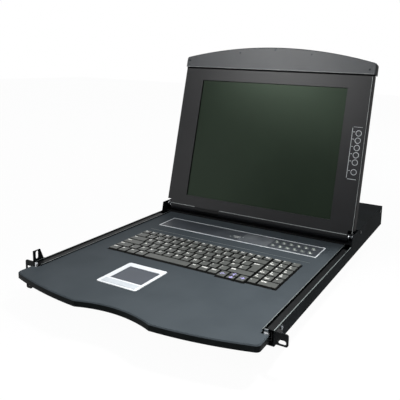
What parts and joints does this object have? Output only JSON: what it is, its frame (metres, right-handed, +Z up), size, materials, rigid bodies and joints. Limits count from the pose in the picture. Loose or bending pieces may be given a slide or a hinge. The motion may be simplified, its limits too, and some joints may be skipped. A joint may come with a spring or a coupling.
{
  "type": "rackmount lcd console drawer",
  "caption": "Sliding rack console drawer with a fold-down flat display, full keyboard, touchpad, port selection keys and a rear housing with computer ports.",
  "frame": {"origin": "midway between the two upper rack slots, on the front faces of the rack ears", "axes": "+X to the right as seen by the operator, +Y to the back of the rack, +Z up"},
  "size_m": [0.4826, 0.677, 0.4225],
  "materials": {
    "chassis_black": "matte black powder coat",
    "deck_paint": "matte blue-grey paint",
    "slide_steel": "bright zinc-plated steel",
    "screw_steel": "bright plated steel",
    "board_green": "solder-masked circuit board",
    "port_black": "black moulded connector",
    "key_grey": "matte dark grey key plastic",
    "key_well": "matte black plastic",
    "trim_silver": "silver painted plastic",
    "touch_grey": "smooth dark grey touch surface",
    "membrane_print": "printed dark membrane",
    "display_shell": "matte black paint",
    "display_black": "fine textured black plastic",
    "handle_grey": "fine textured dark grey plastic",
    "cover_glass": "dark clear cover glass",
    "panel_module": "dark flat panel",
    "button_black": "semi-gloss black plastic",
    "button_ring": "printed grey plate"
  },
  "bodies": {
    "chassis": {"base_pan": "chassis_black", "top_cover": "chassis_black", "rear_panel": "chassis_black", "cover_screws": "screw_steel", "ear_left": "chassis_black", "ear_right": "chassis_black", "ear_screws": "screw_steel", "slide_outer_left": "slide_steel", "slide_outer_right": "slide_steel", "main_board": "board_green", "power_supply": "board_green", "computer_ports": "port_black", "power_inlet": "port_black"},
    "rocker": {"power_rocker": "button_black"},
    "middle_slides": {"slide_middle_left": "slide_steel", "slide_middle_right": "slide_steel"},
    "outer_cages": {"outer_ball_cages": "slide_steel"},
    "inner_cages": {"inner_ball_cages": "slide_steel"},
    "drawer": {"deck_plate": "deck_paint", "under_tray": "chassis_black", "slide_inner_left": "slide_steel", "slide_inner_right": "slide_steel", "keyboard_base": "key_well", "key_posts": "key_well", "touchpad_bezel": "trim_silver", "touch_surface": "touch_grey", "panel_frame": "trim_silver", "panel_membrane": "membrane_print", "hinge_base": "display_black", "hinge_knuckles": "screw_steel"},
    "display": {"display_back": "display_shell", "display_bezel": "display_black", "display_panel": "panel_module", "display_board": "board_green", "screen_glass": "cover_glass", "handle_arch": "handle_grey", "handle_screws": "screw_steel", "osd_plate": "button_ring", "hinge_pins": "screw_steel", "cable_neck": "display_black"},
    "latch_left": {"latch_left": "screw_steel"},
    "latch_right": {"latch_right": "screw_steel"},
    "touch_button_left": {"touch_button_left": "trim_silver"},
    "touch_button_right": {"touch_button_right": "trim_silver"},
    "port_buttons": {"port_buttons": "membrane_print"},
    "function_keys": {"function_keys": "key_grey"},
    "number_keys": {"number_keys": "key_grey"},
    "upper_letter_keys": {"upper_letter_keys": "key_grey"},
    "home_letter_keys": {"home_letter_keys": "key_grey"},
    "lower_letter_keys": {"lower_letter_keys": "key_grey"},
    "bottom_keys": {"bottom_keys": "key_grey"},
    "space_bar": {"space_bar": "key_grey"},
    "enter_key": {"enter_key": "key_grey"},
    "arrow_keys": {"arrow_keys": "key_grey"},
    "osd_button_1": {"osd_button_1": "button_black"},
    "osd_button_2": {"osd_button_2": "button_black"},
    "osd_button_3": {"osd_button_3": "button_black"},
    "osd_button_4": {"osd_button_4": "button_black"},
    "osd_button_5": {"osd_button_5": "button_black"},
    "osd_button_6": {"osd_button_6": "button_black"}
  },
  "joints": [
    {"name": "drawer_slide", "type": "slide", "parent": "chassis", "child": "drawer", "axis": [0, -1, 0], "range_m": [0, 0.4]},
    {"name": "middle_slide", "type": "slide", "parent": "chassis", "child": "middle_slides", "axis": [0, -1, 0], "range_m": [0, 0.2]},
    {"name": "outer_cage_slide", "type": "slide", "parent": "chassis", "child": "outer_cages", "axis": [0, -1, 0], "range_m": [0, 0.1]},
    {"name": "inner_cage_slide", "type": "slide", "parent": "chassis", "child": "inner_cages", "axis": [0, -1, 0], "range_m": [0, 0.3]},
    {"name": "display_hinge", "type": "hinge", "parent": "drawer", "child": "display", "pos_m": [0, 0.3824, 0.02305], "axis": [1, 0, 0], "range_deg": [-9.3, 104]},
    {"name": "rocker_pivot", "type": "hinge", "parent": "chassis", "child": "rocker", "pos_m": [0.182, 0.6065, 0.011], "axis": [1, 0, 0], "range_deg": [-18, 0]},
    {"name": "function_keys_press", "type": "slide", "parent": "drawer", "child": "function_keys", "axis": [0, 0, -1], "range_m": [0, 0.002], "stiffness_N_per_m": 900, "springref_m": -0.001},
    {"name": "number_keys_press", "type": "slide", "parent": "drawer", "child": "number_keys", "axis": [0, 0, -1], "range_m": [0, 0.002], "stiffness_N_per_m": 900, "springref_m": -0.001},
    {"name": "upper_letter_keys_press", "type": "slide", "parent": "drawer", "child": "upper_letter_keys", "axis": [0, 0, -1], "range_m": [0, 0.002], "stiffness_N_per_m": 900, "springref_m": -0.001},
    {"name": "home_letter_keys_press", "type": "slide", "parent": "drawer", "child": "home_letter_keys", "axis": [0, 0, -1], "range_m": [0, 0.002], "stiffness_N_per_m": 900, "springref_m": -0.001},
    {"name": "lower_letter_keys_press", "type": "slide", "parent": "drawer", "child": "lower_letter_keys", "axis": [0, 0, -1], "range_m": [0, 0.002], "stiffness_N_per_m": 900, "springref_m": -0.001},
    {"name": "bottom_keys_press", "type": "slide", "parent": "drawer", "child": "bottom_keys", "axis": [0, 0, -1], "range_m": [0, 0.002], "stiffness_N_per_m": 600, "springref_m": -0.001},
    {"name": "space_bar_press", "type": "slide", "parent": "drawer", "child": "space_bar", "axis": [0, 0, -1], "range_m": [0, 0.002], "stiffness_N_per_m": 250, "springref_m": -0.001},
    {"name": "enter_key_press", "type": "slide", "parent": "drawer", "child": "enter_key", "axis": [0, 0, -1], "range_m": [0, 0.002], "stiffness_N_per_m": 250, "springref_m": -0.001},
    {"name": "arrow_keys_press", "type": "slide", "parent": "drawer", "child": "arrow_keys", "axis": [0, 0, -1], "range_m": [0, 0.002], "stiffness_N_per_m": 400, "springref_m": -0.001},
    {"name": "touch_button_left_press", "type": "slide", "parent": "drawer", "child": "touch_button_left", "axis": [0, 0, -1], "range_m": [0, 0.0007], "stiffness_N_per_m": 800, "springref_m": -0.0005},
    {"name": "latch_left_slide", "type": "slide", "parent": "drawer", "child": "latch_left", "axis": [1, 0, 0], "range_m": [0, 0.0015], "stiffness_N_per_m": 500, "springref_m": -0.001},
    {"name": "touch_button_right_press", "type": "slide", "parent": "drawer", "child": "touch_button_right", "axis": [0, 0, -1], "range_m": [0, 0.0007], "stiffness_N_per_m": 800, "springref_m": -0.0005},
    {"name": "latch_right_slide", "type": "slide", "parent": "drawer", "child": "latch_right", "axis": [-1, 0, 0], "range_m": [0, 0.0015], "stiffness_N_per_m": 500, "springref_m": -0.001},
    {"name": "port_buttons_press", "type": "slide", "parent": "drawer", "child": "port_buttons", "axis": [0, 0, -1], "range_m": [0, 0.0004], "stiffness_N_per_m": 2000, "springref_m": -0.0003},
    {"name": "osd_button_1_press", "type": "slide", "parent": "display", "child": "osd_button_1", "axis": [0, 0.9703, -0.2419], "range_m": [0, 0.0008], "stiffness_N_per_m": 500, "springref_m": -0.0005},
    {"name": "osd_button_2_press", "type": "slide", "parent": "display", "child": "osd_button_2", "axis": [0, 0.9703, -0.2419], "range_m": [0, 0.0008], "stiffness_N_per_m": 500, "springref_m": -0.0005},
    {"name": "osd_button_3_press", "type": "slide", "parent": "display", "child": "osd_button_3", "axis": [0, 0.9703, -0.2419], "range_m": [0, 0.0008], "stiffness_N_per_m": 500, "springref_m": -0.0005},
    {"name": "osd_button_4_press", "type": "slide", "parent": "display", "child": "osd_button_4", "axis": [0, 0.9703, -0.2419], "range_m": [0, 0.0008], "stiffness_N_per_m": 500, "springref_m": -0.0005},
    {"name": "osd_button_5_press", "type": "slide", "parent": "display", "child": "osd_button_5", "axis": [0, 0.9703, -0.2419], "range_m": [0, 0.0008], "stiffness_N_per_m": 500, "springref_m": -0.0005},
    {"name": "osd_button_6_press", "type": "slide", "parent": "display", "child": "osd_button_6", "axis": [0, 0.9703, -0.2419], "range_m": [0, 0.0008], "stiffness_N_per_m": 500, "springref_m": -0.0005}
  ],
  "couplings": [
    {"joint": "middle_slide", "follows": "drawer_slide", "ratio": 0.5},
    {"joint": "outer_cage_slide", "follows": "drawer_slide", "ratio": 0.25},
    {"joint": "inner_cage_slide", "follows": "drawer_slide", "ratio": 0.75}
  ]
}
